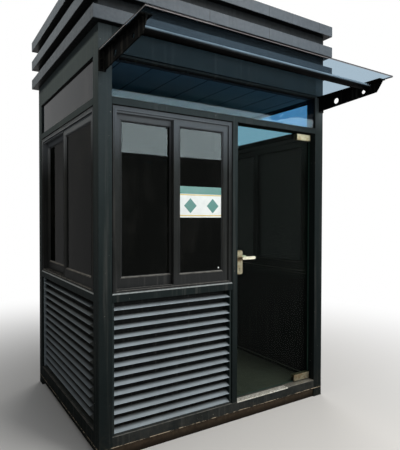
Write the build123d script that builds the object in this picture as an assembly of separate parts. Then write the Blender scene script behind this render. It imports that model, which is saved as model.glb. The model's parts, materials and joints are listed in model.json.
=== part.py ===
from build123d import *
import os

# Security guard booth: a square steel post frame with louvre panels below sliding windows, fanlights
# above, a banded flat roof, a glass canopy and a frameless glass door. Millimetres, +Z up, the front
# faces -Y, and the origin is on the ground at the centre of the four posts.

os.makedirs("parts", exist_ok=True)

# Plan of the post frame
width = 2000
depth = 1500
post_width = 90
tube_wall = 3
door_bay_width = 827
mullion_width = 47

# Heights, from the ground up
front_rail_bottom = 70
front_rail_height = 68
side_rail_bottom = 50
side_rail_height = 113
sill_bottom = 978
sill_height = 47
header_bottom = 2205
header_height = 46
fanlight_height = 252
top_rail_height = 177

# Base frame and floor
plinth_thickness = 8
front_plinth_recess = 10
side_plinth_recess = 25
joist_width = 60
joist_count = 3
floor_thickness = 40

# Louvre panels and the lining behind them
blade_count = 14
blade_depth = 42
blade_drop = 18
blade_thickness = 2
blade_setback = 15
blade_foot = 13
blade_head = 54
channel_width = 17
channel_setback = 12
channel_depth = 51
foot_bar_height = 8
lining_setback = 66
lining_thickness = 12

# Sliding windows
window_setback = 4
window_depth = 80
window_member = 34
window_foot = 22
sash_depth = 26
outer_sash_setback = 15
sash_gap = 6
sash_stile = 43
meeting_stile = 46
sash_top_rail = 46
sash_bottom_rail = 71
window_glass_thickness = 5

# Fanlights and ceiling
fanlight_setback = 13
fanlight_thickness = 8
ceiling_thickness = 12

# Roof
band_height = 80
band_pitch = 170
band_projection = 50
band_sheet = 3
sheet_joint = 1
core_wall = 4
deck_thickness = 20
deck_recess = 20

# Glass canopy over the front
canopy_projection = 611
canopy_inset = 5
canopy_glass_thickness = 10
canopy_lift = 9
bracket_web_inset = 42
bracket_web = 8
bracket_flange_width = 66
bracket_flange = 7
bracket_reach = 556
bracket_root_height = 118
bracket_tip_height = 87
bracket_tip_cut = 44
bracket_nose = 15
bracket_plate_height = 124
bracket_plate_width = 50
bracket_plate = 8
large_hole_offset = 166
large_hole_radius = 22
large_hole_drop = 66
small_hole_offset = 407
small_hole_radius = 15
small_hole_drop = 57
tube_diameter = 50
tube_offset = 441
tube_drop = 26.5

# Glass door, with a threshold strip and the cover plate of its floor spring
threshold_thickness = 3
strip_depth = 50
strip_lip_height = 8
strip_lip_thickness = 2
groove_setback = 14
groove_width = 4
groove_depth = 1.5
spring_cover_length = 302
spring_cover_setback = 2
cover_joint = 1
door_glass_thickness = 12
door_setback = 54
door_side_gap = 8
door_top_gap = 5
door_bottom_gap = 9
top_patch_width = 160
bottom_patch_width = 180
patch_height = 52
patch_thickness = 32
patch_lap = 10
pivot_from_post = 70
pivot_pin_radius = 8
pivot_pin_depth = 18
pivot_end_gap = 2
pin_clearance = 0.2

# Lever handle
handle_from_edge = 52
handle_height = 1204
handle_plate_width = 52
handle_plate_height = 178
handle_plate_above = 54
handle_plate = 8
handle_plate_corner = 12
spindle_radius = 8
spindle_clearance = 0.3
glass_hole_radius = 12
lever_length = 116
lever_height = 22
lever_thickness = 12
lever_standoff = 33
neck_radius = 11
neck_gap = 0.5

# Values that follow from the sizes above
half_width = width / 2
half_depth = depth / 2
front_half_opening = half_width - post_width
side_half_opening = half_depth - post_width
front_rail_top = front_rail_bottom + front_rail_height
side_rail_top = side_rail_bottom + side_rail_height
sill_top = sill_bottom + sill_height
header_top = header_bottom + header_height
top_rail_bottom = header_top + fanlight_height
roof_bottom = top_rail_bottom + top_rail_height
roof_top = roof_bottom + 2 * band_pitch + band_height
floor_bottom = front_rail_top - floor_thickness
mullion_right = front_half_opening - door_bay_width
mullion_left = mullion_right - mullion_width
first_tip = front_rail_top + blade_foot
blade_pitch = (sill_bottom - blade_head - first_tip) / (blade_count - 1)
canopy_underside = top_rail_bottom + canopy_lift
canopy_top = canopy_underside + canopy_glass_thickness
flange_underside = canopy_underside - bracket_flange
web_center = half_width - bracket_web_inset
door_centre_depth = door_setback + door_glass_thickness / 2
pivot_x = front_half_opening - pivot_from_post
door_left = mullion_right + door_side_gap
door_right = front_half_opening - door_side_gap
door_bottom = front_rail_top + threshold_thickness + door_bottom_gap
door_top = header_bottom - door_top_gap
handle_x = door_left + handle_from_edge

# Each wall is drawn as the front one, with its outer face at y = 0 and its depth along +y
WALLS = {
    "front": Pos(0, -half_depth, 0),
    "right": Pos(half_width, 0, 0) * Rot(0, 0, 90),
    "back": Pos(0, half_depth, 0) * Rot(0, 0, 180),
    "left": Pos(-half_width, 0, 0) * Rot(0, 0, -90),
}
HALF_OPENING = {
    "front": front_half_opening,
    "right": side_half_opening,
    "back": front_half_opening,
    "left": side_half_opening,
}
RAIL_TOP = {
    "front": front_rail_top,
    "right": side_rail_top,
    "back": side_rail_top,
    "left": side_rail_top,
}


def block(x, y, z):
    # A box between the low and high ends of each range
    sizes = [high - low for low, high in (x, y, z)]
    middle = [(high + low) / 2 for low, high in (x, y, z)]
    return Pos(*middle) * Box(*sizes)


def rail(x, z, rail_depth=post_width):
    # A rectangular tube lying along x, open at its ends
    outer = block(x, (0, rail_depth), z)
    bore = block(x, (tube_wall, rail_depth - tube_wall), (z[0] + tube_wall, z[1] - tube_wall))
    return outer - bore


def cylinder_y(x, y, z, radius):
    # A round bar along y
    return Pos(x, (y[0] + y[1]) / 2, z) * Rot(90, 0, 0) * Cylinder(radius, y[1] - y[0])


def cylinder_z(x, y, z, radius):
    # A round bar along z
    return Pos(x, y, (z[0] + z[1]) / 2) * Cylinder(radius, z[1] - z[0])


def save(name, *solids):
    # Like pieces that do not touch share one file
    shape = solids[0] if len(solids) == 1 else Compound(children=list(solids))
    export_step(shape, f"parts/{name}.step")


def every_wall(make):
    # The same piece on each of the four walls
    return [place * make(name) for name, place in WALLS.items()]


# Posts, each a tube with a cap at its top
def post():
    outer = block((0, post_width), (0, post_width), (0, roof_bottom))
    bore_range = (tube_wall, post_width - tube_wall)
    return outer - block(bore_range, bore_range, (0, roof_bottom - tube_wall))


save("post_front_left", Pos(-half_width, -half_depth, 0) * post())
save("post_front_right", Pos(half_width - post_width, -half_depth, 0) * post())
save("post_back_left", Pos(-half_width, half_depth - post_width, 0) * post())
save("post_back_right", Pos(half_width - post_width, half_depth - post_width, 0) * post())


# Base frame: plinth strips under the rails, and joists under the floor
def plinth_strip(wall):
    half = HALF_OPENING[wall]
    recess = front_plinth_recess if wall == "front" else side_plinth_recess
    top = front_rail_bottom if wall == "front" else side_rail_bottom
    return block((-half, half), (recess, recess + plinth_thickness), (0, top))


def joist(x):
    # A tube from front to back, stepped down where it passes under the rails
    outer = (x - joist_width / 2, x + joist_width / 2)
    inner = (outer[0] + tube_wall, outer[1] - tube_wall)
    low_top = min(front_rail_bottom, side_rail_bottom)
    ends = (-half_depth + front_plinth_recess + plinth_thickness,
            half_depth - side_plinth_recess - plinth_thickness)
    middle = (-side_half_opening, side_half_opening)
    solid = block(outer, ends, (0, low_top)) + block(outer, middle, (0, floor_bottom))
    middle_bore = (middle[0] + tube_wall, middle[1] - tube_wall)
    solid -= block(inner, ends, (tube_wall, low_top - tube_wall))
    return solid - block(inner, middle_bore, (tube_wall, floor_bottom - tube_wall))


joist_pitch = width / (joist_count + 1)
joist_places = [(i + 1) * joist_pitch - half_width for i in range(joist_count)]
long_frame = WALLS["front"] * plinth_strip("front") + WALLS["back"] * plinth_strip("back")
for joist_x in joist_places:
    long_frame = long_frame + joist(joist_x)
save("base_frame", long_frame, WALLS["left"] * plinth_strip("left"), WALLS["right"] * plinth_strip("right"))
save("floor", block((-front_half_opening, front_half_opening), (-side_half_opening, side_half_opening),
                    (floor_bottom, front_rail_top)))


# Rails between the posts
def base_rail(wall):
    bottom = front_rail_bottom if wall == "front" else side_rail_bottom
    return rail((-HALF_OPENING[wall], HALF_OPENING[wall]), (bottom, RAIL_TOP[wall]))


def sill_rail(wall):
    end = mullion_left if wall == "front" else HALF_OPENING[wall]
    return rail((-HALF_OPENING[wall], end), (sill_bottom, sill_top))


def header_rail(wall):
    return rail((-HALF_OPENING[wall], HALF_OPENING[wall]), (header_bottom, header_top))


def top_rail(wall):
    return rail((-HALF_OPENING[wall], HALF_OPENING[wall]), (top_rail_bottom, roof_bottom))


save("base_rails", *every_wall(base_rail))
save("sill_rails", *every_wall(sill_rail))
save("header_rails", *every_wall(header_rail))
save("top_rails", *every_wall(top_rail))

mullion_outer = block((mullion_left, mullion_right), (0, post_width), (front_rail_top, header_bottom))
mullion_bore = block((mullion_left + tube_wall, mullion_right - tube_wall),
                     (tube_wall, post_width - tube_wall), (front_rail_top, header_bottom))
save("mullion", WALLS["front"] * (mullion_outer - mullion_bore))


# Louvre panels: sloping blades between two channels
def wall_bay(wall):
    end = mullion_left if wall == "front" else HALF_OPENING[wall]
    return (-HALF_OPENING[wall], end)


def blade(x, tip):
    inner = blade_setback + blade_depth
    outline = Polyline(
        (blade_setback, tip),
        (inner, tip + blade_drop),
        (inner, tip + blade_drop + blade_thickness),
        (blade_setback, tip + blade_thickness),
        close=True,
    )
    face = Plane.YZ * make_face(outline)
    return Pos(x[0], 0, 0) * extrude(face, amount=x[1] - x[0])


def louvre_panel(wall):
    bay = wall_bay(wall)
    bottom = RAIL_TOP[wall]
    inner_face = (channel_setback, channel_setback + channel_depth)
    panel = block((bay[0], bay[0] + channel_width), inner_face, (bottom, sill_bottom))
    panel += block((bay[1] - channel_width, bay[1]), inner_face, (bottom, sill_bottom))
    panel += block(bay, inner_face, (bottom, bottom + foot_bar_height))
    tips = [first_tip + i * blade_pitch for i in range(blade_count)]
    between = (bay[0] + channel_width, bay[1] - channel_width)
    for tip in tips:
        if tip >= bottom + blade_foot:
            panel += blade(between, tip)
    return panel


def lining(wall):
    return block(wall_bay(wall), (lining_setback, lining_setback + lining_thickness),
                 (RAIL_TOP[wall], sill_bottom))


for wall_name, wall_place in WALLS.items():
    save(f"louvre_{wall_name}", wall_place * louvre_panel(wall_name))
save("lining_panels", *every_wall(lining))


# Sliding windows: a frame with an outer sash on the right and an inner sash on the left
def window_frame(wall):
    bay = wall_bay(wall)
    depths = (window_setback, window_setback + window_depth)
    outer = block(bay, depths, (sill_top, header_bottom))
    clear = block((bay[0] + window_member, bay[1] - window_member), depths,
                  (sill_top + window_foot, header_bottom - window_member))
    return outer - clear


def sash_ranges(wall):
    # The outer x range, the glass x range and the depth of the right and the left sash
    bay = wall_bay(wall)
    low = bay[0] + window_member
    high = bay[1] - window_member
    sash_width = (high - low + meeting_stile) / 2
    inner_sash_setback = outer_sash_setback + sash_depth + sash_gap
    right = ((high - sash_width, high), (high - sash_width + meeting_stile, high - sash_stile),
             outer_sash_setback)
    left = ((low, low + sash_width), (low + sash_stile, low + sash_width - meeting_stile),
            inner_sash_setback)
    return right, left


def sash_heights():
    bottom = sill_top + window_foot
    top = header_bottom - window_member
    return (bottom, top), (bottom + sash_bottom_rail, top - sash_top_rail)


def sash_frame(outer_x, glass_x, setback):
    outer_z, glass_z = sash_heights()
    depths = (setback, setback + sash_depth)
    return block(outer_x, depths, outer_z) - block(glass_x, depths, glass_z)


def sash_glass(glass_x, setback):
    middle = setback + sash_depth / 2
    depths = (middle - window_glass_thickness / 2, middle + window_glass_thickness / 2)
    return block(glass_x, depths, sash_heights()[1])


for wall_name, wall_place in WALLS.items():
    save(f"window_frame_{wall_name}", wall_place * window_frame(wall_name))
    sashes = [wall_place * sash_frame(*ranges) for ranges in sash_ranges(wall_name)]
    save(f"window_sashes_{wall_name}", *sashes)
    panes = [wall_place * sash_glass(ranges[1], ranges[2]) for ranges in sash_ranges(wall_name)]
    save(f"window_glass_{wall_name}", *panes)


# Fanlights over the header, and the ceiling
def fanlight(wall):
    return block((-HALF_OPENING[wall], HALF_OPENING[wall]),
                 (fanlight_setback, fanlight_setback + fanlight_thickness), (header_top, top_rail_bottom))


save("fanlight_glass", *every_wall(fanlight))
save("ceiling", block((-front_half_opening, front_half_opening), (-side_half_opening, side_half_opening),
                      (top_rail_bottom, top_rail_bottom + ceiling_thickness)))

# Roof: a hollow core of four sheets, three projecting bands, and a deck between the sheets
long_sheet = block((-half_width, half_width), (0, core_wall), (roof_bottom, roof_top))
side_sheet_end = half_depth - core_wall - sheet_joint
side_sheet = block((-side_sheet_end, side_sheet_end), (0, core_wall), (roof_bottom, roof_top))
save("roof_core", WALLS["front"] * long_sheet, WALLS["back"] * long_sheet,
     WALLS["left"] * side_sheet, WALLS["right"] * side_sheet)
save("roof_deck", block((core_wall - half_width, half_width - core_wall),
                        (core_wall - half_depth, half_depth - core_wall),
                        (roof_top - deck_recess - deck_thickness, roof_top - deck_recess)))


def band_channel(half_length, end_wall, low):
    # A channel along x that is open to the wall behind it
    high = low + band_height
    outside = block((-half_length, half_length), (-band_projection, 0), (low, high))
    hollow = block((end_wall - half_length, half_length - end_wall), (band_sheet - band_projection, 0),
                   (low + band_sheet, high - band_sheet))
    return outside - hollow


for level, band_name in enumerate(("lower", "middle", "upper")):
    band_bottom = roof_bottom + level * band_pitch
    long_channel = band_channel(half_width + band_projection, band_sheet, band_bottom)
    side_channel = band_channel(half_depth - sheet_joint, 0, band_bottom)
    save(f"roof_band_{band_name}", WALLS["front"] * long_channel, WALLS["back"] * long_channel,
         WALLS["left"] * side_channel, WALLS["right"] * side_channel)


# Canopy: two tapering T brackets with a plate on the post, a round tube and a sheet of glass
def bracket(side):
    # side is -1 for the left bracket and 1 for the right one
    web_x = side * web_center
    bottom_root = canopy_underside - bracket_root_height
    bottom_tip = canopy_underside - bracket_tip_height
    outline = Polyline(
        (0, flange_underside),
        (-bracket_reach, flange_underside),
        (-bracket_reach, flange_underside - bracket_nose),
        (-bracket_reach + bracket_tip_cut, bottom_tip),
        (0, bottom_root),
        close=True,
    )
    web_face = Plane.YZ * make_face(outline)
    web = Pos(web_x - bracket_web / 2, 0, 0) * extrude(web_face, amount=bracket_web)
    for offset, drop, radius in ((large_hole_offset, large_hole_drop, large_hole_radius),
                                 (small_hole_offset, small_hole_drop, small_hole_radius)):
        place = Pos(web_x, -offset, canopy_underside - drop)
        web -= place * Rot(0, 90, 0) * Cylinder(radius, 2 * bracket_web)
    flange = block((web_x - bracket_flange_width / 2, web_x + bracket_flange_width / 2),
                   (-bracket_reach, 0), (flange_underside, canopy_underside))
    plate_edges = sorted((side * half_width, side * (half_width - bracket_plate_width)))
    plate_z = (canopy_underside - bracket_plate_height, canopy_underside)
    plate = block(plate_edges, (-bracket_plate, 0), plate_z)
    return WALLS["front"] * (web + flange + plate)


save("canopy_bracket_left", bracket(-1))
save("canopy_bracket_right", bracket(1))
tube_length = 2 * web_center - bracket_web
canopy_tube = Rot(0, 90, 0) * Cylinder(tube_diameter / 2, tube_length)
save("canopy_tube", WALLS["front"] * Pos(0, -tube_offset, flange_underside - tube_drop) * canopy_tube)
save("canopy_glass", WALLS["front"] * block((canopy_inset - half_width, half_width - canopy_inset),
                                            (-canopy_projection, 0), (canopy_underside, canopy_top)))

# Door threshold: a grooved strip with a lip over the rail, then the cover plate of the floor spring
threshold_z = (front_rail_top, front_rail_top + threshold_thickness)
spring_cover_x = (front_half_opening - spring_cover_length, front_half_opening)
strip_x = (mullion_right, spring_cover_x[0] - cover_joint)
strip = block(strip_x, (-strip_lip_thickness, strip_depth), threshold_z)
strip += block(strip_x, (-strip_lip_thickness, 0), (threshold_z[1] - strip_lip_height, threshold_z[1]))
groove_y = (groove_setback, groove_setback + groove_width)
strip -= block(strip_x, groove_y, (threshold_z[1] - groove_depth, threshold_z[1]))
spring_cover = block(spring_cover_x, (spring_cover_setback, post_width - spring_cover_setback), threshold_z)
save("threshold", WALLS["front"] * strip, WALLS["front"] * spring_cover)

# The two pins that the door turns on
lower_pin_z = (threshold_z[1], door_bottom + pivot_pin_depth)
upper_pin_z = (door_top - pivot_pin_depth, header_bottom)
lower_pin = cylinder_z(pivot_x, door_centre_depth, lower_pin_z, pivot_pin_radius)
upper_pin = cylinder_z(pivot_x, door_centre_depth, upper_pin_z, pivot_pin_radius)
save("door_pivot_pins", WALLS["front"] * lower_pin, WALLS["front"] * upper_pin)


# Glass door leaf, notched where the patch fittings clamp it
def patch_z(at_top):
    if at_top:
        return (door_top - patch_height, door_top)
    return (door_bottom, door_bottom + patch_height)


def patch_x(at_top):
    return (door_right - (top_patch_width if at_top else bottom_patch_width), door_right)


def patch_notch(at_top):
    low, high = patch_z(at_top)
    notch_z = (low + patch_lap, high) if at_top else (low, high - patch_lap)
    return block((patch_x(at_top)[0] + patch_lap, door_right), door_depths, notch_z)


door_depths = (door_setback, door_setback + door_glass_thickness)
door_leaf = block((door_left, door_right), door_depths, (door_bottom, door_top))
door_leaf -= patch_notch(False)
door_leaf -= patch_notch(True)
door_glass = door_leaf - cylinder_y(handle_x, door_depths, handle_height, glass_hole_radius)
save("door_glass", WALLS["front"] * door_glass)


def patch(at_top):
    half_thickness = patch_thickness / 2
    depths = (door_centre_depth - half_thickness, door_centre_depth + half_thickness)
    body = block(patch_x(at_top), depths, patch_z(at_top))
    bore_depth = pivot_pin_depth + pivot_end_gap
    bore_z = (door_top - bore_depth, door_top) if at_top else (door_bottom, door_bottom + bore_depth)
    bore = cylinder_z(pivot_x, door_centre_depth, bore_z, pivot_pin_radius + pin_clearance)
    return body - door_leaf - bore


save("door_patch_fittings", WALLS["front"] * patch(False), WALLS["front"] * patch(True))


# Lever handle: a plate on each face of the glass, and a lever on each side of one spindle
def handle_plate_at(y):
    low = handle_height + handle_plate_above - handle_plate_height
    middle = low + handle_plate_height / 2
    face = Plane.XZ * RectangleRounded(handle_plate_width, handle_plate_height, handle_plate_corner)
    plate = Pos(handle_x, y + handle_plate, middle) * extrude(face, amount=handle_plate)
    hole_radius = spindle_radius + spindle_clearance
    return plate - cylinder_y(handle_x, (y, y + handle_plate), handle_height, hole_radius)


front_plate_y = door_setback - handle_plate
back_plate_y = door_setback + door_glass_thickness
save("door_handle_plates", WALLS["front"] * handle_plate_at(front_plate_y),
     WALLS["front"] * handle_plate_at(back_plate_y))


def lever_arm(y):
    # y is the range of the arm's thickness
    half = lever_height / 2
    bar = block((handle_x, handle_x + lever_length - half), y, (handle_height - half, handle_height + half))
    end = cylinder_y(handle_x + lever_length - half, y, handle_height, half)
    return bar + cylinder_y(handle_x, y, handle_height, half) + end


front_neck = (front_plate_y - lever_standoff, front_plate_y - neck_gap)
back_face = back_plate_y + handle_plate
back_neck = (back_face + neck_gap, back_face + lever_standoff)
front_arm = (front_neck[0] - lever_thickness, front_neck[0])
back_arm = (back_neck[1], back_neck[1] + lever_thickness)
lever = cylinder_y(handle_x, (front_neck[0], back_neck[1]), handle_height, spindle_radius)
for neck in (front_neck, back_neck):
    lever += cylinder_y(handle_x, neck, handle_height, neck_radius)
for arm in (front_arm, back_arm):
    lever += lever_arm(arm)
save("door_lever", WALLS["front"] * lever)
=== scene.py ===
import json
import math

import bmesh
import bpy
from mathutils import Matrix, Vector


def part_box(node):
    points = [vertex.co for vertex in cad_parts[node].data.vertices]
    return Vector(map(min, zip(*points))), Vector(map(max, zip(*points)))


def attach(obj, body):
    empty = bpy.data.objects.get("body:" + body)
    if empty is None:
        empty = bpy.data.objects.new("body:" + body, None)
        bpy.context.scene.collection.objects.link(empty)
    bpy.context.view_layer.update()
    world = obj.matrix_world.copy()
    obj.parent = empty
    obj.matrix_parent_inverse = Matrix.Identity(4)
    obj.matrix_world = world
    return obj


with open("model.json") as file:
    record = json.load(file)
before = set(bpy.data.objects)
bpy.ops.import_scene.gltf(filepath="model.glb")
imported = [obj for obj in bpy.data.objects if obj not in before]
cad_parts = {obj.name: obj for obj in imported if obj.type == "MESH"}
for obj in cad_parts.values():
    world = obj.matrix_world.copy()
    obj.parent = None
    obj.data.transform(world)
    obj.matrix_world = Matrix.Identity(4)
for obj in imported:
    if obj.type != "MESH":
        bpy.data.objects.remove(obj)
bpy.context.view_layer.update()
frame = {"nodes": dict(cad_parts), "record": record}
nodes = frame["nodes"]
scene = bpy.context.scene

X, Y, Z = range(3)

# Camera: placed and aimed by a fit to the booth's straight lines in the photograph
IMAGE_WIDTH = 400
IMAGE_HEIGHT = 450
FOCAL_PX = 416.25
CENTRE_X_PX = 168
SENSOR = 36
EYE = Vector((-1.907, -3.1362, 1.5033))
YAW = math.radians(30.311)
PITCH = math.radians(-0.962)
ROLL = math.radians(0.047)
CLIP_END = 200

# Light: at this level a plain colour on the front renders about as it is written
AMBIENT = 0.22
AMBIENT_COLOUR = (0.92, 0.96, 1)
BOOTH_MIDDLE = Vector((0, 0, 1.5))
KEY_POWER = 360
KEY_SIZE = (4, 4)
KEY_PLACE = Vector((2.6, -4.6, 6.6))
KEY_AIM = Vector((0, 0, 1.3))
FILL_POWER = 285
FILL_SIZE = (7, 3)
FILL_PLACE = Vector((0.5, -9.5, 2.6))

# A warm lamp whose narrow beam lies along the top of the left wall
SIDE_POWER = 14
SIDE_SIZE = (2.4, 0.5)
SIDE_PLACE = Vector((-2.7, 0.1, 4.4))
SIDE_AIM = Vector((-1.05, 0.0, 2.95))
SIDE_SPREAD = math.radians(55)
SIDE_COLOUR = (1.0, 0.93, 0.8)

# A soft lamp behind, for the back and the right wall
BACK_POWER = 420
BACK_SIZE = (7, 4)
BACK_PLACE = Vector((6.0, 8.5, 4.5))

# Panels far in front, which only gloss sees. The panes mirror them between these places along the wall and
# these heights, where they mirror the open sky in the photograph.
PANEL_Y = -9.5
WINDOW_RADIANCE = 49
WINDOW_PANEL = ((-0.95, 0.12), (1.92, 2.20))
FANLIGHT_RADIANCE = 15
FANLIGHT_PANEL = ((-0.95, 1.0), (2.24, 2.325))
PANEL_COLOUR = (0.8, 0.97, 1.0)

# The floor, which fades to the white background between these distances from the booth's middle
FLOOR_REACH = 30
FLOOR_FADE = (0.9, 5.0)
FLOOR_COLOUR = (0.72, 0.7, 0.67)

# Places read from the frame, in metres
HALF_WIDTH, HALF_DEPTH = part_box("roof_core")[1][:2]
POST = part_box("post_front_left")[1][0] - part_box("post_front_left")[0][0]
SILL_BOTTOM, SILL_TOP = (corner[2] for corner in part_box("sill_rails"))
HEADER_BOTTOM, HEADER_TOP = (corner[2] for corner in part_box("header_rails"))
TOP_RAIL_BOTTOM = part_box("top_rails")[0][2]
FRONT_RAIL_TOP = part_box("floor")[1][2]
SIDE_RAIL_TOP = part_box("base_rails")[1][2]
MULLION_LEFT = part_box("mullion")[0][0]
CANOPY_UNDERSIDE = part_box("canopy_glass")[0][2]
LOWEST_BAND_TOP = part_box("roof_band_lower")[1][2]
BAND_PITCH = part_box("roof_band_middle")[1][2] - LOWEST_BAND_TOP

# Sizes of the windows, repeated from the model
WINDOW_SETBACK = 0.004
WINDOW_MEMBER = 0.034
WINDOW_FOOT = 0.022
SASH_DEPTH = 0.026
OUTER_SASH_SETBACK = 0.015
SASH_GAP = 0.006
SASH_STILE = 0.043
MEETING_STILE = 0.046
SASH_TOP_RAIL = 0.046
SASH_BOTTOM_RAIL = 0.071
PANE_RECESS = 0.0105

# Sizes of the louvres, the foot, the canopy and the door, repeated from the model
BLADE_SETBACK = 0.015
BLADE_FOOT = 0.013
BLADE_HEAD = 0.054
BLADE_COUNT = 14
CHANNEL_WIDTH = 0.017
FANLIGHT_SETBACK = 0.013
FRONT_RAIL_BOTTOM = 0.070
FOOT_BAR_TOP = 0.009
BRACKET_PLATE = 0.008
PATCH_HEIGHT = 0.052
TOP_PATCH_WIDTH = 0.160
SPRING_COVER = 0.3025

# The space that trim leaves where it would meet its neighbours end to end
CLEAR = 0.001

# Each wall is drawn with its outer face at depth 0, from along and height to a place in the frame
WALLS = {
    "front": lambda along, depth, height: (along, depth - HALF_DEPTH, height),
    "right": lambda along, depth, height: (HALF_WIDTH - depth, along, height),
    "back": lambda along, depth, height: (-along, HALF_DEPTH - depth, height),
    "left": lambda along, depth, height: (depth - HALF_WIDTH, -along, height),
}
HALF_OPENING = {
    "front": HALF_WIDTH - POST,
    "right": HALF_DEPTH - POST,
    "back": HALF_WIDTH - POST,
    "left": HALF_DEPTH - POST,
}


def make_camera():
    data = bpy.data.cameras.new("camera")
    data.sensor_width = SENSOR
    data.lens = FOCAL_PX * SENSOR / IMAGE_HEIGHT
    data.shift_x = (IMAGE_WIDTH / 2 - CENTRE_X_PX) / IMAGE_HEIGHT
    data.clip_end = CLIP_END
    camera = bpy.data.objects.new("camera", data)
    scene.collection.objects.link(camera)
    forward = Vector((math.sin(YAW) * math.cos(PITCH), math.cos(YAW) * math.cos(PITCH), math.sin(PITCH)))
    level = Vector((math.cos(YAW), -math.sin(YAW), 0))
    up = level.cross(forward)
    right = math.cos(ROLL) * level + math.sin(ROLL) * up
    up = math.cos(ROLL) * up - math.sin(ROLL) * level
    turn = Matrix((right, up, -forward)).transposed()
    camera.matrix_world = Matrix.Translation(EYE) @ turn.to_4x4()
    scene.camera = camera


# Colours
def linear(value):
    value = value / 255
    return value / 12.92 if value <= 0.04045 else ((value + 0.055) / 1.055) ** 2.4


def srgb(red, green, blue):
    return (linear(red), linear(green), linear(blue))


def rgba(colour):
    return (colour[0], colour[1], colour[2], 1.0)


def scaled(colour, factor):
    return tuple(channel * factor for channel in colour)


FRAME = srgb(30, 37, 37)
# The frame's painted light high up
FRAME_PAINTED_LIGHT = srgb(84, 92, 95)
FRAME_FILLER = srgb(186, 170, 146)
FRAME_SPECK = srgb(196, 190, 178)
BRACKET = srgb(9, 10, 10)
# Painted highlight along the top of the canopy's tube
TUBE_HIGHLIGHT = srgb(158, 174, 184)
WINDOW = srgb(36, 37, 36)
# Painted reflection of the sky on the window frames' heads, and the frames' paler tone towards the sill
WINDOW_SKY_REFLECTION = srgb(86, 90, 94)
WINDOW_PALER_LOW = srgb(42, 43, 43)
LOUVRE = srgb(152, 163, 169)
ROOF = srgb(66, 73, 80)
ROOF_RECESS_SHADE = srgb(19, 21, 22)
BROWN = srgb(66, 55, 43)
# Near-black lining, painted shade for the louvre gaps and the inside
LINING_SHADE = srgb(10, 11, 11)
CEILING = srgb(148, 152, 150)
FLOOR_BOARD = srgb(74, 72, 66)
# Pale tone of the sill's painted highlight
SILL_HIGHLIGHT_TONE = srgb(132, 137, 136)
RUBBER = srgb(14, 14, 15)
# Near black, for real seals and for painted shade
SEAL_AND_SHADE_TONE = srgb(8, 8, 8)
DUST = srgb(146, 143, 136)
MUD = srgb(92, 80, 64)
DOOR_RIM = srgb(60, 84, 78)
CANOPY_RIM = srgb(112, 108, 108)
STEEL = (srgb(108, 99, 80), srgb(134, 125, 105))
LEVER_STEEL = (srgb(196, 187, 163), srgb(222, 214, 194))
TARNISH = srgb(92, 72, 46)
# Threshold tones: a strip in painted sunlight, and a cover plate partly in painted shade
SUNLIT_STRIP = (srgb(224, 222, 212), srgb(132, 122, 104))
SHADED_COVER = (srgb(128, 125, 116), srgb(92, 88, 78))
GROOVE_DIRT = srgb(70, 58, 44)


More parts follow.
